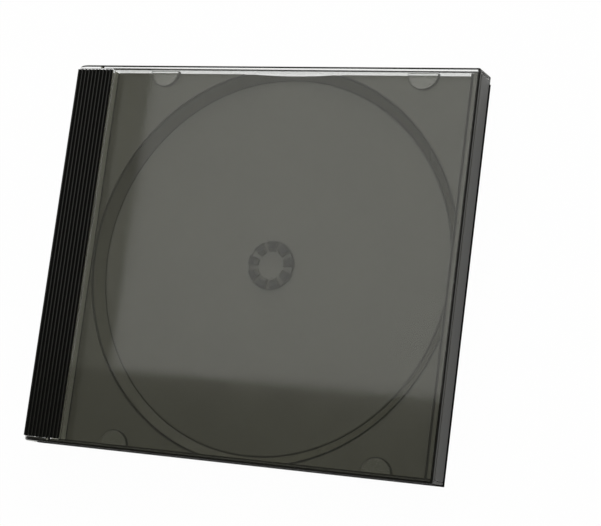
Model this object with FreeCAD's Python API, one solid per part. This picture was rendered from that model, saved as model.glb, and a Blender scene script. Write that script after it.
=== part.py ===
import FreeCAD, Part
import math
import os
from FreeCAD import Vector

# Closed case lying on its back, in millimetres: X runs from the hinge to the
# opening edge, Y across, Z up. The origin is the middle of the underside.
case_length = 142.0
case_width = 125.0
case_height = 10.0

# Clear mouldings
lid_plate = 1.2
lid_wall = 1.2
base_plate = 1.0
spine_wall = 1.2
edge_round = 0.7

# Hinge: an inward pin on each lid arm turns in a hole in each base lug
hinge_inset = 4.0
pin_radius = 1.5
pin_length = 1.1
pin_lead = 0.3
pin_clearance = 0.06
lug_reach = 4.2
lug_wall = 1.2
lug_corner = 2.0
knuckle_lift = 0.15

# Clearances
lid_clearance = 0.15
swing_clearance = 0.4
tray_clearance = 0.3
tray_lift = 0.05
card_slot = 0.4

# Booklet tabs on the lid walls
tab_radius = 5.2
tab_thickness = 1.2
tab_bevel = 0.3
tab_spread = 45.2
booklet_gap = 2.0

# Tray
tray_wall = 0.95
recess_depth = 3.0
recess_radius = 60.0
recess_run = 2.85
disc_offset = 6.4
flange_width = 1.5

# Ribbed strip along the hinge
strip_width = 13.5
strip_gap = 0.8
strip_drop = 0.1
rib_count = 10
rib_width = 1.05
rib_crest = 0.5
rib_crown = 0.12
rib_height = 0.7

# Hub that grips the disc
hub_radius = 7.4
hub_step = 0.4
hub_height = 1.9
hub_bead = 0.12
disc_thickness = 1.2
tooth_count = 9
tooth_span = 24.0
tooth_setback = 0.15
tooth_foot = 4.5
tooth_end = 1.0
tooth_ramp = 0.9
tooth_lead = 0.4

# Levels and faces that follow from the sizes above
left = -case_length / 2
right = case_length / 2
half_width = case_width / 2
lid_under = case_height - lid_plate
lid_inner = half_width - lid_wall
lug_outer = lid_inner - lid_clearance
hinge_x = left + hinge_inset
hinge_z = case_height / 2
tray_bottom = base_plate + tray_lift
floor_top = tray_bottom + tray_wall
deck_top = floor_top + recess_depth
tray_edge = lid_inner - tray_clearance
strip_right = left + strip_width
rib_root = case_height - strip_drop - rib_height
strip_under = rib_root - tray_wall
spine_top = strip_under - tray_lift
flange_right = right - spine_wall - card_slot
flange_left = flange_right - flange_width
closing_top = lid_under - lid_clearance
lip_under = closing_top - tray_wall
plate_left = strip_right + strip_gap
tab_top = lid_under - booklet_gap


def box(x0, x1, y0, y1, z0, z1):
    return Part.makeBox(x1 - x0, y1 - y0, z1 - z0, Vector(x0, y0, z0))


def across(radius, x, z, y0, y1):
    """A cylinder lying along Y from y0 to y1."""
    return Part.makeCylinder(radius, y1 - y0, Vector(x, y0, z), Vector(0, 1, 0))


def both_sides(shape):
    """The shape and its mirror image across the middle of the case."""
    return shape.fuse(shape.mirror(Vector(0, 0, 0), Vector(0, 1, 0)))


def turned(points, start=0.0, sweep=360.0):
    """A radius and height outline turned about the disc's axis."""
    corners = [Vector(r, 0, z) for r, z in points]
    face = Part.Face(Part.makePolygon(corners + corners[:1]))
    face.rotate(Vector(0, 0, 0), Vector(0, 0, 1), start)
    solid = face.revolve(Vector(0, 0, 0), Vector(0, 0, 1), sweep)
    solid.translate(Vector(disc_offset, 0, 0))
    return solid


def edges_at(shape, *tests):
    """The edges whose ends both pass one of the tests."""
    found = []
    for edge in shape.Edges:
        ends = [vertex.Point for vertex in edge.Vertexes]
        if any(all(test(p) for p in ends) for test in tests):
            found.append(edge)
    return found


def near(a, b):
    return abs(a - b) < 1e-6


def front_cover():
    wall_foot = base_plate + lid_clearance
    plate = box(plate_left, right, -half_width, half_width, lid_under, case_height)

    # Each wall runs on past the plate as an arm with a round end about the pin, so
    # that the lid can turn over flat without lifting the base. The upper edges are
    # rounded off while the arm's end is still a full quarter turn.
    knuckle = across(hinge_z, hinge_x, hinge_z, lid_inner, half_width)
    upper_end = knuckle.common(box(hinge_x - hinge_z, hinge_x, lid_inner, half_width, hinge_z, case_height))
    lower_end = knuckle.common(box(hinge_x - hinge_z, hinge_x + hinge_z, lid_inner, half_width, 0, hinge_z))
    wall = box(hinge_x, right, lid_inner, half_width, wall_foot, case_height).fuse(upper_end)
    shell = plate.fuse(both_sides(wall)).removeSplitter()
    shell = shell.makeFillet(edge_round, edges_at(
        shell,
        lambda p: near(p.x, right) and near(p.y, half_width),
        lambda p: near(p.x, right) and near(p.y, -half_width),
        lambda p: near(p.x, right) and near(p.z, case_height),
        lambda p: near(abs(p.y), half_width) and near(p.z, case_height) and p.x > hinge_x - 1e-6,
    ))
    envelope = box(left, right, -half_width, half_width, knuckle_lift, case_height)
    shell = shell.fuse(both_sides(lower_end)).common(envelope).removeSplitter()

    tabs = []
    for x in (disc_offset - tab_spread, disc_offset + tab_spread):
        disc = Part.makeCylinder(tab_radius, tab_thickness, Vector(x, lid_inner, tab_top - tab_thickness))
        disc = disc.makeChamfer(tab_bevel, edges_at(disc, lambda p: near(p.z, tab_top)))
        reach = box(x - tab_radius, x + tab_radius, 0, lid_inner + lid_wall / 2, 0, case_height)
        tabs.append(disc.common(reach))

    pin = across(pin_radius, hinge_x, hinge_z, lid_inner - pin_length, lid_inner + lid_wall / 2)
    tip = lid_inner - pin_length
    pin = pin.makeChamfer(pin_lead, edges_at(pin, lambda p: near(p.y, tip)))

    for part in tabs + [pin]:
        shell = shell.fuse(both_sides(part))
    return shell.removeSplitter()


def back_cover():
    plate = box(left, right, -half_width, half_width, 0, base_plate)
    plate = plate.makeFillet(edge_round, edges_at(
        plate,
        lambda p: near(p.x, right) and near(p.y, half_width),
        lambda p: near(p.x, right) and near(p.y, -half_width),
        lambda p: near(p.z, 0),
    ))

    # The corners are cut back so that the round arm ends can swing through.
    reach = math.sqrt(hinge_z ** 2 - (hinge_z - base_plate) ** 2)
    notch = box(left - 1, hinge_x + reach + swing_clearance, lug_outer, half_width + 1, -1, base_plate + 1)
    plate = plate.cut(both_sides(notch))

    spine = box(left, left + spine_wall, -lug_outer, lug_outer, edge_round, spine_top)
    closing_spine = box(right - spine_wall, right, -lug_outer, lug_outer, edge_round, lip_under - tray_lift)

    lug_end = hinge_x + lug_reach
    lug = box(left, lug_end, lug_outer - lug_wall, lug_outer, edge_round, spine_top)
    lug = lug.makeFillet(lug_corner, edges_at(
        lug, lambda p: near(p.x, lug_end) and near(p.z, spine_top)))
    bore = across(pin_radius + pin_clearance, hinge_x, hinge_z, lug_outer - lug_wall - 1, lug_outer + 1)

    cover = plate.fuse(spine).fuse(closing_spine).fuse(both_sides(lug))
    return cover.cut(both_sides(bore)).removeSplitter()


def ribbed_strip():
    """The strip's cross-section, ribs and the wall down to the deck, drawn once and extruded."""
    pitch = strip_width / rib_count
    inner = strip_right - tray_wall
    outline = [Vector(left, 0, strip_under), Vector(left, 0, rib_root)]
    edges = [Part.makeLine(outline[0], outline[1])]
    here = outline[1]
    for i in range(rib_count):
        middle = left + (i + 0.5) * pitch
        foot = Vector(middle - rib_width / 2, 0, rib_root)
        start = Vector(middle - rib_crest / 2, 0, rib_root + rib_height - rib_crown)
        crest = Vector(middle, 0, rib_root + rib_height)
        end = Vector(middle + rib_crest / 2, 0, rib_root + rib_height - rib_crown)
        last = Vector(middle + rib_width / 2, 0, rib_root)
        edges.append(Part.makeLine(here, foot))
        edges.append(Part.makeLine(foot, start))
        edges.append(Part.Arc(start, crest, end).toShape())
        edges.append(Part.makeLine(end, last))
        here = last
    for x, z in ((strip_right, rib_root), (strip_right, tray_bottom), (inner, tray_bottom),
                 (inner, strip_under), (left, strip_under)):
        there = Vector(x, 0, z)
        edges.append(Part.makeLine(here, there))
        here = there
    face = Part.Face(Part.Wire(edges))
    strip = face.extrude(Vector(0, 2 * tray_edge, 0))
    strip.translate(Vector(0, -tray_edge, 0))

    # A leg behind the spine keeps the card's fold upright; it stops short of the lugs.
    leg_left = left + spine_wall + card_slot
    leg_end = lug_outer - lug_wall - tray_clearance
    leg = box(leg_left, leg_left + tray_wall, -leg_end, leg_end, tray_bottom, strip_under)
    return strip.fuse(leg)


def hub():
    """A low round step that centres the disc, and the ring of teeth that stands on it."""
    solid = Part.makeCylinder(hub_radius, floor_top + hub_step - tray_bottom,
                              Vector(disc_offset, 0, tray_bottom))

    # Each tooth ramps up from the middle of the hub and leans out over the step, so
    # that its bead keeps the disc on.
    bead_height = floor_top + (disc_thickness + hub_height) / 2
    tooth_outer = hub_radius - tooth_setback
    tooth = turned([
        (tooth_foot, tray_bottom),
        (tooth_outer, tray_bottom),
        (tooth_outer, floor_top + hub_step),
        (hub_radius + hub_bead, bead_height),
        (tooth_outer - tooth_lead, floor_top + hub_height),
        (tooth_foot + tooth_ramp, floor_top + hub_height),
        (tooth_foot, floor_top + tooth_end),
    ], 90 - tooth_span / 2, tooth_span)
    for i in range(tooth_count):
        turn = FreeCAD.Rotation(Vector(0, 0, 1), i * 360 / tooth_count)
        copy = tooth.copy()
        copy.Placement = FreeCAD.Placement(Vector(0, 0, 0), turn, Vector(disc_offset, 0, 0)) * copy.Placement
        solid = solid.fuse(copy)
    return solid


def disc_tray():
    deck = box(strip_right - tray_wall, flange_right, -tray_edge, tray_edge, tray_bottom, deck_top)
    hollow = box(strip_right, flange_left, -tray_edge + tray_wall, tray_edge - tray_wall,
                 tray_bottom - 1, deck_top - tray_wall)

    rim = recess_radius + recess_run
    slope_wall = tray_wall * math.hypot(recess_run, recess_depth) / recess_depth
    shell = turned([
        (0, tray_bottom),
        (recess_radius, tray_bottom),
        (rim + slope_wall, deck_top),
        (0, deck_top),
    ])
    void = turned([
        (0, floor_top),
        (recess_radius, floor_top),
        (rim, deck_top),
        (rim, deck_top + 1),
        (0, deck_top + 1),
    ])
    flange = box(flange_left, flange_right, -tray_edge, tray_edge, tray_bottom, closing_top)
    lip = box(flange_left, right, -tray_edge, tray_edge, lip_under, closing_top)

    tray = deck.cut(hollow).fuse(shell.common(deck)).cut(void)
    return tray.fuse(flange).fuse(lip).fuse(ribbed_strip()).fuse(hub()).removeSplitter()


os.makedirs("parts", exist_ok=True)
front_cover().exportStep("parts/front_cover.step")
back_cover().exportStep("parts/back_cover.step")
disc_tray().exportStep("parts/disc_tray.step")
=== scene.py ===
# %% [markdown]
# A hinged plastic case for one disc: a clear front cover and a clear back cover
# with a dark moulded tray between them. The three solids already exist in one
# shared frame, so this lesson is about looks: clear plastic, a dark tray with its
# recess, ribs and hub, and a white studio that shows all of them.

# %% Load the solids
import math
import bmesh
import bpy
from mathutils import Matrix, Vector


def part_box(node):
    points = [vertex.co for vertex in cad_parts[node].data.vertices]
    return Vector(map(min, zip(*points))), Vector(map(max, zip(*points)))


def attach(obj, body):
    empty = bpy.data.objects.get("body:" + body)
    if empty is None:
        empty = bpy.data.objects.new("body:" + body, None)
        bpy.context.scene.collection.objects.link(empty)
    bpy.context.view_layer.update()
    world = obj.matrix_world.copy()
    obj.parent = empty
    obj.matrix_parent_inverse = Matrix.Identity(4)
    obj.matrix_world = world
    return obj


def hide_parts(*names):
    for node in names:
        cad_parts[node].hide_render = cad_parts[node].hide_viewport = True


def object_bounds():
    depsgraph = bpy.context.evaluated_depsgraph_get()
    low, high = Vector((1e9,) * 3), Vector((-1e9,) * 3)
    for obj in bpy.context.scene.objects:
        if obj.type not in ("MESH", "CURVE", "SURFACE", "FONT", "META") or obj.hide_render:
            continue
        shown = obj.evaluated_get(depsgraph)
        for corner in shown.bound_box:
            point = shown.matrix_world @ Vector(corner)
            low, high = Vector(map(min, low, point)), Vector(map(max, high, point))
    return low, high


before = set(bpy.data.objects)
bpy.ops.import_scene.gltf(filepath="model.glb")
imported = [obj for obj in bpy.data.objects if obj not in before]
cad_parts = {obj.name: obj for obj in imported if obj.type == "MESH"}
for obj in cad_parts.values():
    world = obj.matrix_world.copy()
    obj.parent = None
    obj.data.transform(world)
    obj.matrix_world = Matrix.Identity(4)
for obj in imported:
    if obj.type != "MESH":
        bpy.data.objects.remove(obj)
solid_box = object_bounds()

scene = bpy.context.scene
MM = 0.001

# %% [markdown]
# The camera was found by matching the corners of the case with their places in
# the picture. Two directions fix how it is turned: where it looks, and which way
# is right in the image. The case lies on its back, so the camera looks down.

# %% Camera
IMAGE_WIDTH = 601
SENSOR_WIDTH = 36
FOCAL_PIXELS = 1873.93
CLIP_START = 0.01


def place_camera(position, forward, right, lens):
    forward, right = Vector(forward).normalized(), Vector(right).normalized()
    up = right.cross(forward).normalized()
    data = bpy.data.cameras.new("camera")
    data.sensor_width = SENSOR_WIDTH
    data.lens = lens
    data.clip_start = CLIP_START
    camera = bpy.data.objects.new("camera", data)
    turn = Matrix((right, up, -forward)).transposed()
    camera.matrix_world = Matrix.Translation(position) @ turn.to_4x4()
    scene.collection.objects.link(camera)
    scene.camera = camera
    return camera


camera = place_camera(
    position=(0.267237, -0.084687, 0.520493),
    forward=(-0.431199, 0.147899, -0.890052),
    right=(0.900777, 0.127049, -0.415283),
    lens=FOCAL_PIXELS * SENSOR_WIDTH / IMAGE_WIDTH,
)
print("lens", round(camera.data.lens, 1), "mm")

# %% [markdown]
# Node trees get long when every link is a line of code. Two small classes keep
# them short. The first is a Wire: a socket that can stand in a sum, so that
# `1 - mask` adds a Math node by itself.

# %% Wires
class Wire:
    """An output of a node. Arithmetic on wires adds Math nodes to their board."""

    def __init__(self, board, socket):
        self.board, self.socket = board, socket

    def __getitem__(self, name):
        return Wire(self.board, self.socket.node.outputs[name])

    def math(self, operation, a, b=0.0):
        return self.board.add("ShaderNodeMath", {"operation": operation}, {0: a, 1: b})

    def __add__(self, other):
        return self.math("ADD", self, other)

    def __sub__(self, other):
        return self.math("SUBTRACT", self, other)

    def __rsub__(self, other):
        return self.math("SUBTRACT", other, self)

    def __mul__(self, other):
        return self.math("MULTIPLY", self, other)

    def __truediv__(self, other):
        return self.math("DIVIDE", self, other)

    def __gt__(self, other):
        return self.math("GREATER_THAN", self, other)

    def __lt__(self, other):
        return self.math("LESS_THAN", self, other)

    def __abs__(self):
        return self.math("ABSOLUTE", self)

    def least(self, other):
        return self.math("MINIMUM", self, other)

    def most(self, other):
        return self.math("MAXIMUM", self, other)

    __radd__ = __add__
    __rmul__ = __mul__


print("wires ready")

# %% [markdown]
# The second is a Board: a node tree that adds any node in one call, from its type,
# its settings, and the values or wires of its inputs. Two helpers use it. One
# starts a material, and one mixes two colours by a mask.

# %% Boards
class Board:
    """A node tree, emptied, to which nodes are added."""

    def __init__(self, tree):
        self.tree = tree
        tree.nodes.clear()

    def add(self, kind, settings=None, inputs=None):
        node = self.tree.nodes.new(kind)
        for name, value in (settings or {}).items():
            if name == "stops":
                self.set_stops(node.color_ramp, value)
            else:
                setattr(node, name, value)
        for name, value in (inputs or {}).items():
            if isinstance(value, Wire):
                self.tree.links.new(value.socket, node.inputs[name])
            else:
                node.inputs[name].default_value = value
        return Wire(self, node.outputs[0]) if node.outputs else node

    def set_stops(self, ramp, stops):
        while len(ramp.elements) < len(stops):
            ramp.elements.new(1.0)
        for element, (place, color) in zip(ramp.elements, stops):
            element.position, element.color = place, (*color, 1)


def new_material(name):
    material = bpy.data.materials.new(name)
    material.use_nodes = True
    return material, Board(material.node_tree)


def blend(board, mask, below, above):
    """One colour where the mask is 0 and another where it is 1."""
    return board.add("ShaderNodeMix", {"data_type": "RGBA"}, {0: mask, 6: below, 7: above})[2]


print("boards ready")

# %% [markdown]
# The floor is white to the eye and through anything clear, but it still takes the
# shadow of the case. More light could turn it white, but would wash out the case as
# well, so Light Path tells those rays from the rest: for them almost all of the
# floor glows at strength 1, and what is left is white paint with a soft shadow.
# Right under the case the floor is painted dark: a painted shadow for the shade of
# the tray. Only under the far wall, next to the large soft box, does it stay white.
# The low walls mirror the floor close by, so mirrored rays get a fifth of the glow,
# and in a margin around the case they see only the dark paint: a painted contact
# shadow. In front, away from the large soft box, that margin is as wide as the
# case is high.

# %% Floor paint
WHITE = (1, 1, 1, 1)
# The dark paint is painted shadow, laid under the case and around it.
WHITE_PAINT, SHADOW_PAINT = (0.9, 0.9, 0.9, 1), (0.02, 0.02, 0.02, 1)
FLOOR_GLOW = 0.98
MIRROR_SHARE = 0.2
CONTACT_FRONT, CONTACT_BESIDE = 10 * MM, 0.6 * MM
FAR_EDGE = solid_box[1][1] - 2.5 * MM

floor_paint, board = new_material("floor_paint")
path = board.add("ShaderNodeLightPath")
direct = (path["Is Camera Ray"] + path["Is Transmission Ray"]).least(1.0)
mirrored = path["Is Glossy Ray"] * (1 - direct)
spot = board.add("ShaderNodeSeparateXYZ", None, {"Vector": board.add("ShaderNodeTexCoord")["Object"]})


def under_case(beside, front):
    """1 on the floor under the case, or around it as far as these two margins reach."""
    across = abs(spot["X"]) < solid_box[1][0] + beside
    return across * (spot["Y"] > solid_box[0][1] - front) * (spot["Y"] < FAR_EDGE)


# Painted shadow: under the case, and for mirrored rays in a margin around it, the floor gets the dark
# paint and no glow.
shaded = under_case(0, 0).most(mirrored * under_case(CONTACT_BESIDE, CONTACT_FRONT))
shade = blend(board, shaded, WHITE_PAINT, SHADOW_PAINT)
paint = board.add("ShaderNodeBsdfDiffuse", None, {"Color": shade})
glow = board.add("ShaderNodeEmission", None, {"Color": WHITE, "Strength": 1.0})
white_share = (direct + mirrored * MIRROR_SHARE) * FLOOR_GLOW * (1 - shaded)
mixed = board.add("ShaderNodeMixShader", None, {0: white_share, 1: paint, 2: glow})
board.add("ShaderNodeOutputMaterial", None, {"Surface": mixed})
print("floor paint ready")

# %% [markdown]
# The floor itself is one large square a hair under the case, so that their faces
# never share a plane.

# %% Floor sheet
FLOOR_SIZE = 4.0
FLOOR_DROP = 0.2 * MM

sheet = bmesh.new()
bmesh.ops.create_grid(sheet, x_segments=1, y_segments=1, size=FLOOR_SIZE)
floor_mesh = bpy.data.meshes.new("floor")
sheet.to_mesh(floor_mesh)
sheet.free()
floor_mesh.materials.append(floor_paint)
floor = bpy.data.objects.new("floor", floor_mesh)
floor.location.z = -FLOOR_DROP
scene.collection.objects.link(floor)
print("floor", tuple(floor.dimensions))

# %% [markdown]
# The light is a plain studio. The sky is dim and a little warm overhead and dark
# near the horizon, so that the steep edges of clear plastic turn dark and draw
# the outline of the case. A sky of one colour would leave those edges grey, so a
# colour ramp follows the height of each ray. The eye alone sees plain white behind
# the floor.

# %% Sky
SKY_OVERHEAD = (0.225, 0.225, 0.183)
SKY_HORIZON = (0.03, 0.03, 0.027)
LOW_SKY, HIGH_SKY = 0.15, 0.75

world = bpy.data.worlds.new("studio")
scene.world = world
world.use_nodes = True
board = Board(world.node_tree)
direction = board.add("ShaderNodeTexCoord")["Generated"]
height = board.add("ShaderNodeSeparateXYZ", None, {"Vector": direction})["Z"]
sky_stops = [(LOW_SKY, SKY_HORIZON), (HIGH_SKY, SKY_OVERHEAD)]
sky_color = board.add("ShaderNodeValToRGB", {"stops": sky_stops}, {"Fac": height})
sky = board.add("ShaderNodeBackground", None, {"Color": sky_color, "Strength": 1.0})
white = board.add("ShaderNodeBackground", None, {"Color": WHITE, "Strength": 1.0})
path = board.add("ShaderNodeLightPath")
shown = board.add("ShaderNodeMixShader", None, {0: path["Is Camera Ray"], 1: sky, 2: white})
board.add("ShaderNodeOutputWorld", None, {"Surface": shown})
print("sky ready")

# %% [markdown]
# One large soft box hangs behind the case: its reflection is the pale area with two
# soft edges on the lid. A dim one beside it lifts the dark band along the hinge.
# Two more only light the tray, one low from behind and one from the opening side,
# and are never mirrored. A box's power grows with its size, so that its colour alone
# sets how bright its face looks.

# %% Soft boxes
BOX_GLOW = (0.81, 0.81, 0.785)
DIM_GLOW = (0.19, 0.19, 0.163)
FILL_GLOW = (11.0, 11.0, 11.0)
SIDE_GLOW = (1.5, 1.5, 1.5)
CASE = (0, 0, 0)


def soft_box(name, low, high, height, color, aim=None, mirrored=True):
    """A lamp as large as the rectangle from low to high, facing down or towards a point."""
    light = bpy.data.lights.new(name, "AREA")
    light.shape = "RECTANGLE"
    light.color = color
    light.size, light.size_y = high[0] - low[0], high[1] - low[1]
    light.energy = math.pi * light.size * light.size_y
    lamp = bpy.data.objects.new(name, light)
    lamp.location = ((low[0] + high[0]) / 2, (low[1] + high[1]) / 2, height)
    if aim is not None:
        lamp.rotation_euler = (Vector(aim) - lamp.location).to_track_quat("-Z", "Y").to_euler()
    lamp.visible_camera = False
    lamp.visible_glossy = lamp.visible_transmission = mirrored
    scene.collection.objects.link(lamp)
    print(name, "power", round(light.energy, 2), "W")


soft_box("back_soft_box", (-0.400, 0.017), (0.40, 0.70), 0.60, BOX_GLOW)
soft_box("dim_soft_box", (-0.70, 0.017), (-0.405, 0.70), 0.60, DIM_GLOW)
soft_box("fill_soft_box", (-0.60, 0.85), (0.60, 1.15), 0.32, FILL_GLOW, aim=CASE, mirrored=False)
soft_box("side_soft_box", (0.23, -0.58), (0.73, -0.08), 0.93, SIDE_GLOW, aim=CASE, mirrored=False)

# %% [markdown]
# The edges of a clear sheet, its inner corners, the narrow opening side and the
# sides of the small tabs get painted shade: their colour is a near-black tint that
# stands in for the dark look of light trapped in the sheet. A mask finds them.
# Rounded faces lie square to none of the three axes, the upper rim and the opening
# side lie on the box around the case, the inner corner runs along the underside of
# the lid, and the small tabs stand inside the walls.

# %% Painted edge shade
tray_low, tray_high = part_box("disc_tray")
tray_side = tray_high[1]
disc_x = 6.4 * MM
HINGE_END = solid_box[0][0] + 9 * MM
TAB_REACH = 51 * MM
SKIN = 0.1 * MM
RIM = 0.72 * MM
LID_WALL = 1.2 * MM
CORNER = 0.35 * MM
SQUARE_ON = 0.985
SIDEWAYS = 0.1
STEEP = 0.5


def painted_dark_faces(board, coordinates):
    """A mask that is 1 on the faces with painted shade and 0 on the clear ones."""
    facing = board.add("ShaderNodeSeparateXYZ", None, {"Vector": coordinates["Normal"]})
    place = board.add("ShaderNodeSeparateXYZ", None, {"Vector": coordinates["Object"]})
    along, across, up = abs(facing["X"]), abs(facing["Y"]), abs(facing["Z"])
    past_hinge = place["X"] > HINGE_END
    opening_side = (place["X"] > solid_box[1][0] - SKIN) * (abs(place["Y"]) < tray_side)
    rounded_off = (along.most(across).most(up) < SQUARE_ON) * past_hinge.most(across > SIDEWAYS)
    outside = (abs(place["Y"]) > solid_box[1][1] - RIM).most(place["X"] > solid_box[1][0] - RIM)
    upper_rim = outside * (place["Z"] > solid_box[1][2] - RIM)
    by_wall = abs(place["Y"]) > solid_box[1][1] - LID_WALL - CORNER
    inner_corner = by_wall * (abs(place["Z"] - solid_box[1][2] + LID_WALL) < SKIN)
    by_a_tab = (abs(place["Y"]) < tray_side) * (abs(place["X"] - disc_x) < TAB_REACH)
    painted_dark = opening_side.most(rounded_off).most(upper_rim)
    return painted_dark.most(inner_corner).most(by_a_tab * (up < STEEP))


print("smoky edges ready")

# %% [markdown]
# Clear plastic bends light at both faces and mirrors a little of the room. Lamps
# have to reach the tray through it, so for shadow rays and for light that bounces
# off the tray the plastic is simply transparent. Faint flow marks from the mould
# change the roughness, which softens the edge of the reflection. The two covers
# keep their solids and only get this finish.

# %% Clear plastic
CLEAR = (0.99, 0.995, 0.99, 1)
# A near-black tint: painted shade on the edges that the mask finds.
EDGE_SHADE_TINT = (0.001, 0.001, 0.001, 1)
LET_THROUGH = (0.93, 0.93, 0.92, 1)


def clear_plastic(name):
    material, board = new_material(name)
    coordinates = board.add("ShaderNodeTexCoord")
    flow = board.add("ShaderNodeTexNoise", None, {
        "Vector": coordinates["Object"], "Scale": 35.0, "Detail": 3.0})
    # The masked edges get the near-black tint as painted shade.
    color = blend(board, painted_dark_faces(board, coordinates), CLEAR, EDGE_SHADE_TINT)
    shine = board.add("ShaderNodeBsdfPrincipled", None, {
        "Base Color": color,
        "Roughness": 0.02 + flow * 0.05,
        "IOR": 1.49,
        "Transmission Weight": 1.0,
    })
    through = board.add("ShaderNodeBsdfTransparent", None, {"Color": LET_THROUGH})
    path = board.add("ShaderNodeLightPath")
    unseen = (path["Is Shadow Ray"] + path["Is Diffuse Ray"]).least(1.0)
    mixed = board.add("ShaderNodeMixShader", None, {0: unseen, 1: shine, 2: through})
    board.add("ShaderNodeOutputMaterial", None, {"Surface": mixed})
    return material


for node, finish in (("front_cover", "front_plastic"), ("back_cover", "back_plastic")):
    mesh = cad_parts[node].data
    material = clear_plastic(finish)
    for i in range(len(mesh.materials)):
        mesh.materials[i] = material
    print(node, len(mesh.polygons), "triangles")

# %% [markdown]
# The tray is a thin moulding in a few levels: the floor of the recess, the deck
# around it, the lip along the opening edge, and the strip by the hinge, whose ribs
# rise above its root. These sizes are named once, because the finish and the shape
# of the tray both need them.

# %% Tray levels
tray_wall = 0.95 * MM
tray_left, tray_floor = tray_low[0], tray_low[2]
strip_right = tray_left + 13.5 * MM
rib_height = 0.7 * MM
rib_root = tray_high[2] - rib_height
floor_top = tray_floor + tray_wall
deck_top = floor_top + 3.0 * MM
lip_top = solid_box[1][2] - 1.35 * MM
recess_radius = 60.0 * MM
recess_run = 2.85 * MM
rim_radius = recess_radius + recess_run
hub_radius = 7.4 * MM
step_top = floor_top + 0.4 * MM
groove_width, groove_depth = 0.5 * MM, 0.35 * MM
print("tray levels", [round(z / MM, 2) for z in (floor_top, deck_top, lip_top, rib_root)], "mm")

# %% [markdown]
# The tray is dark plastic with a satin face: almost black, with a fine grain that
# only shows in the gloss. The ribbed strip is polished and painted black, darker
# than the rest, as painted shade, and the wall at its foot is painted paler, as
# painted light. Mould lines, the valleys between the ribs and the tops of the hub's
# teeth are dull, and painted black as painted shade. They could be painted by hand,
# but the tray has plain levels, so a mask finds each from its height: a groove's
# faces lie a little under their own level.

# %% Tray plastic
DEEP_TONE, LIGHT_TONE = (0.034, 0.0335, 0.0255), (0.040, 0.0395, 0.030)
# Painted shade: black for the ribbed strip, the mould lines, the rib valleys and the tops of the teeth.
PAINTED_SHADE_BLACK = (0.002, 0.002, 0.0018, 1)
# Painted light: the strip's upright wall is painted paler.
WALL_PAINTED_LIGHT = (0.20, 0.20, 0.165, 1)
DULL = 0.9
VALLEY_SHARE = 0.6
tooth_shoulder = step_top + 1.1 * MM
slack = 0.04 * MM

tray_plastic, board = new_material("tray_plastic")
place = board.add("ShaderNodeTexCoord")["Object"]
at = board.add("ShaderNodeSeparateXYZ", None, {"Vector": place})
grain = board.add("ShaderNodeTexNoise", None, {"Vector": place, "Scale": 900.0, "Detail": 2.0})
cloud = board.add("ShaderNodeTexNoise", None, {"Vector": place, "Scale": 45.0, "Detail": 4.0})
bump = board.add("ShaderNodeBump", None, {"Strength": 0.05, "Distance": 0.0001, "Height": grain})
tone = board.add("ShaderNodeValToRGB", {"stops": [(0.3, DEEP_TONE), (0.7, LIGHT_TONE)]}, {"Fac": cloud})


def just_under(level):
    """A mask for the faces of a groove that was cut into this level."""
    return (at["Z"] < level - slack) * (at["Z"] > level - groove_depth - slack)


from_axis = (at["X"] - disc_x) * (at["X"] - disc_x) + at["Y"] * at["Y"]
past_rim = from_axis > (rim_radius - groove_width / 2) ** 2
by_hub = from_axis < (hub_radius + groove_width) ** 2
on_strip = (at["X"] < strip_right) * (at["Z"] > rib_root - slack)
on_tooth = by_hub * (at["Z"] > tooth_shoulder)
valley = on_strip * (at["Z"] < rib_root + rib_height * VALLEY_SHARE)
groove_faces = just_under(floor_top).most(just_under(deck_top) * past_rim).most(just_under(lip_top))
groove_faces = groove_faces.most(just_under(step_top) * by_hub).most(valley)
matte = groove_faces.most(on_tooth)
# Painted shade: these faces take the black colour.
painted_shade = matte.most(on_strip)
# Painted light: the strip's upright wall takes the pale colour.
strip_wall = (abs(at["X"] - strip_right) < slack) * (at["Z"] > deck_top)
polish = 0.18 + cloud * 0.05 + grain * 0.05
satin = board.add("ShaderNodeBsdfPrincipled", None, {
    "Base Color": blend(board, painted_shade, blend(board, strip_wall, tone, WALL_PAINTED_LIGHT), PAINTED_SHADE_BLACK),
    "Roughness": polish + matte * (DULL - polish),
    "Normal": bump,
})
board.add("ShaderNodeOutputMaterial", None, {"Surface": satin})
print("tray plastic ready")

# %% [markdown]
# The tray is made again here as a finer mesh than the solid: the same form, with
# rounded corners and the fine mould lines that outline its recess. It starts from
# flat outlines. A Bevel modifier would round all corners alike, so this helper only
# rounds the ones that have a radius.

# %% Rounded outlines
def rounded(corners, steps=5):
    """Points of an outline whose corners (x, z, radius) are rounded off."""
    points = []
    for i, (x, z, radius) in enumerate(corners):
        here = Vector((x, z))
        if radius == 0:
            points.append(here)
            continue
        before = (Vector(corners[i - 1][:2]) - here).normalized()
        after = (Vector(corners[(i + 1) % len(corners)][:2]) - here).normalized()
        half = before.angle(after) / 2
        center = here + (before + after).normalized() * radius / math.sin(half)
        start = here + before * radius / math.tan(half) - center
        end = here + after * radius / math.tan(half) - center
        sweep = start.angle_signed(end)
        for step in range(steps + 1):
            points.append(center + Matrix.Rotation(-sweep * step / steps, 2) @ start)
    return points


print("rounded outlines ready")

# %% [markdown]
# An outline becomes a closed shape in one of two ways: it is pulled straight across
# the case, or turned about the disc's axis. Both merge doubled points and then turn
# every face outwards, because Boolean tools need clean closed shapes.

# %% Closed shapes
SAME_POINT = 0.001 * MM


def finished(name, shape):
    """A new object from a bmesh, merged and with its faces pointing outwards."""
    bmesh.ops.remove_doubles(shape, verts=shape.verts, dist=SAME_POINT)
    bmesh.ops.recalc_face_normals(shape, faces=shape.faces)
    mesh = bpy.data.meshes.new(name)
    shape.to_mesh(mesh)
    shape.free()
    made = bpy.data.objects.new(name, mesh)
    scene.collection.objects.link(made)
    return made


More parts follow.
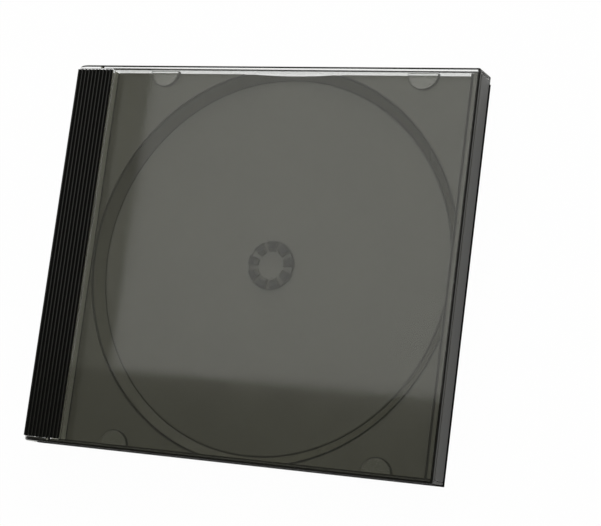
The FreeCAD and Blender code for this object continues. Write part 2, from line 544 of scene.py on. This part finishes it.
def pulled(name, outline, reach):
    """An outline in X and Z pulled across the case from -reach to reach."""
    shape = bmesh.new()
    face = shape.faces.new([shape.verts.new((x, -reach, z)) for x, z in outline])
    moved = bmesh.ops.extrude_face_region(shape, geom=[face])["geom"]
    corners = [item for item in moved if isinstance(item, bmesh.types.BMVert)]
    bmesh.ops.translate(shape, vec=(0, 2 * reach, 0), verts=corners)
    return finished(name, shape)


def block(name, x0, x1, z0, z1, reach):
    """A plain bar across the case, for cutting and adding."""
    return pulled(name, [(x0, z0), (x1, z0), (x1, z1), (x0, z1)], reach)


def turned(name, outline, axis_x, steps=288):
    """A closed outline of radius and height turned about the disc's axis."""
    shape = bmesh.new()
    rings = []
    for step in range(steps):
        angle = 2 * math.pi * step / steps
        rings.append([shape.verts.new((axis_x + r * math.cos(angle), r * math.sin(angle), z))
                      for r, z in outline])
    count = len(outline)
    for ring, following in zip(rings, rings[1:] + rings[:1]):
        for i in range(count):
            j = (i + 1) % count
            shape.faces.new([ring[i], ring[j], following[j], following[i]])
    return finished(name, shape)


print("closed shapes ready")

# %% [markdown]
# Shapes are added and cut with Boolean modifiers, as a toolmaker adds and cuts
# steel. The result is read from the evaluated object and kept as a plain mesh,
# so no modifier and no cutter is left in the scene.

# %% Adding and cutting
def plain_mesh(made):
    """The evaluated shape as a mesh of its own, with the modifiers removed."""
    mesh = bpy.data.meshes.new_from_object(made.evaluated_get(bpy.context.evaluated_depsgraph_get()))
    made.modifiers.clear()
    made.data = mesh
    return made


def combine(made, operation, *others):
    """Adds or cuts the other shapes, which are then deleted."""
    for other in others:
        step = made.modifiers.new(operation.lower(), "BOOLEAN")
        step.operation = operation
        step.solver = "MANIFOLD"
        step.object = other
    plain_mesh(made)
    for other in others:
        bpy.data.objects.remove(other)
    return made


print("adding and cutting ready")

# %% [markdown]
# The tray's cross-section is the same all the way across: the high strip beside
# the hinge, the deck, and the flange with its lip along the opening edge. A narrow
# groove runs along the foot of the strip and another along the lip. It could be
# stacked from boxes, but one outline keeps every wall in its place. Under the deck
# the tray is hollow.

# %% Tray body
strip_under = rib_root - tray_wall
lip_right = tray_high[0]
lip_under = lip_top - tray_wall
flange_left, flange_right = 67.9 * MM, 69.4 * MM
lip_edge = 0.1 * MM
lip_groove = 0.8 * MM
soft_corner = 0.25 * MM
groove_floor = deck_top - groove_depth
OVERSHOOT = 1 * MM

section = rounded([
    (tray_left, strip_under, 0),
    (tray_left, rib_root, soft_corner),
    (strip_right, rib_root, 0),
    (strip_right, groove_floor, 0),
    (strip_right + groove_width, groove_floor, 0),
    (strip_right + groove_width, deck_top, 0),
    (flange_left, deck_top, 0),
    (flange_left, lip_top, 0),
    (flange_left + lip_edge, lip_top, 0),
    (flange_left + lip_edge, lip_top - groove_depth, 0),
    (flange_left + lip_edge + lip_groove, lip_top - groove_depth, 0),
    (flange_left + lip_edge + lip_groove, lip_top, 0),
    (lip_right, lip_top, 0),
    (lip_right, lip_under, 0),
    (flange_right, lip_under, 0),
    (flange_right, tray_floor, 0),
    (strip_right - tray_wall, tray_floor, 0),
    (strip_right - tray_wall, strip_under, soft_corner),
])
tray = pulled("tray", section, tray_side)
hollow = block("hollow", strip_right, flange_left, tray_floor - OVERSHOOT, deck_top - tray_wall,
               tray_side - tray_wall)
combine(tray, "DIFFERENCE", hollow)
print("tray body", len(tray.data.polygons), "faces")

# %% [markdown]
# The round recess for the disc is turned: first a dish is added under the deck,
# then its inside is cut away. The cutter's outline carries three fine grooves, so
# that one cut makes them all: around the hub, at the foot of the sloping wall and at
# its rim.

# %% Recess
recess_depth = deck_top - floor_top
slope_wall = tray_wall * math.hypot(recess_run, recess_depth) / recess_depth
inside_deck = deck_top - tray_wall / 2
dish_rim = recess_radius + slope_wall + recess_run * (inside_deck - floor_top) / recess_depth
rim_cut = groove_width / 3


def groove(inner, top):
    """Four points of a groove in the cutter's outline, from its inner to its outer edge."""
    outer = inner + groove_width
    return [(inner, top), (inner, top - groove_depth), (outer, top - groove_depth), (outer, top)]


dish_outline = [(0, tray_floor), (recess_radius, tray_floor), (dish_rim, inside_deck), (0, inside_deck)]
dish = turned("dish", dish_outline, disc_x)
keep_left, keep_right = strip_right - tray_wall / 2, flange_right - tray_wall / 2
keep = block("keep", keep_left, keep_right, tray_floor, deck_top, tray_side)
combine(dish, "INTERSECT", keep)
cutter = turned("cutter", [
    (0, floor_top),
    *groove(hub_radius, floor_top),
    *groove(recess_radius - groove_width, floor_top),
    (rim_radius - rim_cut, deck_top - rim_cut),
    (rim_radius - rim_cut, groove_floor),
    (rim_radius + groove_width, groove_floor),
    (rim_radius + groove_width, deck_top + OVERSHOOT),
    (0, deck_top + OVERSHOOT),
], disc_x)
combine(tray, "UNION", dish)
combine(tray, "DIFFERENCE", cutter)
print("tray with recess", len(tray.data.polygons), "faces")

# %% [markdown]
# The strip's ribs and the hub's teeth repeat, so Geometry Nodes make them: a tree
# makes one and sets copies of it. One helper starts a tree with named inputs, and
# one sets the inputs, by their identifiers, and keeps the result as a plain mesh.

# %% Geometry Nodes helpers
NUMBER, COUNT, FINISH = "NodeSocketFloat", "NodeSocketInt", "NodeSocketMaterial"


def new_tree(name, **sizes):
    """A Geometry Nodes tree with an input for each size, its board and its inputs."""
    tree = bpy.data.node_groups.new(name, "GeometryNodeTree")
    for size, kind in sizes.items():
        tree.interface.new_socket(size, in_out="INPUT", socket_type=kind)
    tree.interface.new_socket("Geometry", in_out="OUTPUT", socket_type="NodeSocketGeometry")
    board = Board(tree)
    return tree, board, board.add("NodeGroupInput")


def grown(name, tree, **values):
    """The plain mesh that a tree makes when its inputs have these values."""
    made = bpy.data.objects.new(name, bpy.data.meshes.new(name))
    scene.collection.objects.link(made)
    nodes = made.modifiers.new(name, "NODES")
    nodes.node_group = tree
    for item in tree.interface.items_tree:
        if item.in_out == "INPUT":
            nodes[item.identifier] = values[item.name]
    return plain_mesh(made)


print("Geometry Nodes helpers ready")

# %% [markdown]
# Ten ribs run along the strip, so that a finger finds a grip when the lid opens.
# The rib starts as a cube with many columns; Set Position gives its top two flanks
# and a rounded crest. A Mesh Line then sets the copies in a row.

# %% Ribs
tree, board, size = new_tree(
    "ribs", Count=COUNT, Pitch=NUMBER, Reach=NUMBER, Root=NUMBER, Crest=NUMBER, Crown=NUMBER,
    Height=NUMBER, Sink=NUMBER, StartX=NUMBER, BaseZ=NUMBER, Plastic=FINISH)
cube = board.add("GeometryNodeMeshCube", None, {"Size": (1, 1, 1), "Vertices X": 17})
at = board.add("ShaderNodeSeparateXYZ", None, {"Vector": board.add("GeometryNodeInputPosition")})
out = abs(at["X"]) * 2.0
share = size["Crest"] / size["Root"]
flank = (size["Height"] - size["Crown"]) * (1.0 - out) / (1.0 - share)
crest = size["Height"] - size["Crown"] * (out / share) * (out / share)
upper = at["Z"] > 0.0
level = flank.least(crest) * upper - size["Sink"] * (1.0 - upper)
place = board.add("ShaderNodeCombineXYZ", None, {
    "X": at["X"] * size["Root"], "Y": at["Y"] * size["Reach"] * 2.0, "Z": level})
rib = board.add("GeometryNodeSetPosition", None, {"Geometry": cube, "Position": place})
first = board.add("ShaderNodeCombineXYZ", None, {"X": size["StartX"], "Z": size["BaseZ"]})
stride = board.add("ShaderNodeCombineXYZ", None, {"X": size["Pitch"]})
row = board.add("GeometryNodeMeshLine", None, {
    "Count": size["Count"], "Start Location": first, "Offset": stride})
ribs = board.add("GeometryNodeInstanceOnPoints", None, {"Points": row, "Instance": rib})
ribs = board.add("GeometryNodeRealizeInstances", None, {"Geometry": ribs})
ribs = board.add("GeometryNodeSetMaterial", None, {"Geometry": ribs, "Material": size["Plastic"]})
board.add("NodeGroupOutput", None, {"Geometry": ribs})

rib_count = 10
rib_pitch = (strip_right - tray_left) / rib_count
strip_ribs = grown("strip_ribs", tree, Count=rib_count, Pitch=rib_pitch, Reach=tray_side, Root=1.05 * MM,
                   Crest=0.5 * MM, Crown=0.12 * MM, Height=rib_height, Sink=0.2 * MM,
                   StartX=tray_left + rib_pitch / 2, BaseZ=rib_root, Plastic=tray_plastic)
print("ribs", len(strip_ribs.data.polygons), "faces")

# %% [markdown]
# The hub grips the disc with nine springy teeth that stand on a low round step.
# One tree makes a tooth and turns copies of it about the disc's axis. Its top leans
# out over its foot, and that bead keeps the disc on. With a little Grow the same
# tree makes the cutter for the fine gap around each tooth.

# %% Hub teeth
tree, board, size = new_tree(
    "teeth", Count=COUNT, Foot=NUMBER, Outer=NUMBER, Bead=NUMBER, CrestInner=NUMBER, CrestOuter=NUMBER,
    End=NUMBER, Height=NUMBER, Lead=NUMBER, Span=NUMBER, Grow=NUMBER, Sink=NUMBER, AxisX=NUMBER,
    BaseZ=NUMBER, Plastic=FINISH)
cube = board.add("GeometryNodeMeshCube", None, {"Size": (1, 1, 1), "Vertices X": 17, "Vertices Y": 9})
at = board.add("ShaderNodeSeparateXYZ", None, {"Vector": board.add("GeometryNodeInputPosition")})
upper = at["Z"] > 0.0
inner = size["Foot"] - size["Grow"]
outer = size["Outer"] + size["Grow"] + size["Bead"] * upper
radius = inner + (at["X"] + 0.5) * (outer - inner)
rise = (size["Height"] - size["End"]) / (size["CrestInner"] - size["Foot"])
ramp = size["End"] + (radius - size["Foot"]) * rise
lead = size["Height"] - size["Lead"] * (radius - size["CrestOuter"]) / (outer - size["CrestOuter"])
level = ramp.least(size["Height"]).least(lead) * upper - size["Sink"] * (1.0 - upper)
angle = at["Y"] * size["Span"]
place = board.add("ShaderNodeCombineXYZ", None, {
    "X": radius * angle.math("COSINE", angle),
    "Y": radius * angle.math("SINE", angle) + at["Y"] * size["Grow"] * 2.0,
    "Z": level})
tooth = board.add("GeometryNodeSetPosition", None, {"Geometry": cube, "Position": place})
middle = board.add("ShaderNodeCombineXYZ", None, {"X": size["AxisX"], "Z": size["BaseZ"]})
spots = board.add("GeometryNodeMeshLine", None, {
    "Count": size["Count"], "Start Location": middle, "Offset": (0, 0, 0)})
turn = board.add("GeometryNodeInputIndex") * (2 * math.pi) / size["Count"] + math.pi / 2
turn = board.add("ShaderNodeCombineXYZ", None, {"Z": turn})
teeth = board.add("GeometryNodeInstanceOnPoints", None, {
    "Points": spots, "Instance": tooth, "Rotation": turn})
teeth = board.add("GeometryNodeRealizeInstances", None, {"Geometry": teeth})
teeth = board.add("GeometryNodeSetMaterial", None, {"Geometry": teeth, "Material": size["Plastic"]})
board.add("NodeGroupOutput", None, {"Geometry": teeth})

tooth_sizes = dict(Count=9, Foot=4.5 * MM, Outer=7.25 * MM, CrestInner=5.4 * MM, CrestOuter=6.85 * MM,
                   End=0.6 * MM, Height=1.5 * MM, Lead=0.35 * MM, Span=math.radians(24), AxisX=disc_x,
                   BaseZ=step_top, Plastic=tray_plastic)
tooth_gaps = grown("tooth_gaps", tree, Grow=0.22 * MM, Bead=0.0, Sink=groove_depth, **tooth_sizes)
hub_teeth = grown("hub_teeth", tree, Grow=0.0, Bead=0.27 * MM, Sink=0.5 * MM, **tooth_sizes)
print("teeth", len(hub_teeth.data.polygons), "faces")

# %% [markdown]
# The pieces above are one moulding on the real tray, so they become one mesh here:
# the gaps are cut from the hub's step, then the step, the teeth, the ribs and the
# leg behind the hinge spine are added. Only the gentle turns of the recess are
# shaded smooth. The finer mesh then stands for the solid and rides with the base.

# %% One moulded tray
STEP_SIDES = 96
SHARP_ANGLE = math.radians(6)
step_foot = floor_top - tray_wall / 2
leg_left = tray_left + 1.6 * MM
leg_top = strip_under + tray_wall / 2
leg_reach = 59.65 * MM

step_outline = [(0, step_foot), (hub_radius, step_foot), (hub_radius, step_top), (0, step_top)]
step = turned("step", step_outline, disc_x, STEP_SIDES)
combine(step, "DIFFERENCE", tooth_gaps)
leg = block("leg", leg_left, leg_left + tray_wall, tray_floor, leg_top, leg_reach)
combine(tray, "UNION", step, hub_teeth, strip_ribs, leg)
tray.data.materials.clear()
tray.data.materials.append(tray_plastic)
for face in tray.data.polygons:
    face.material_index = 0
    face.use_smooth = True
tray.data.set_sharp_from_angle(angle=SHARP_ANGLE)
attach(tray, "base")
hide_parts("disc_tray")
print("tray", len(tray.data.polygons), "faces")

# %% [markdown]
# The Standard view leaves colours as they are written.

# %% Finish
scene.view_settings.view_transform = "Standard"
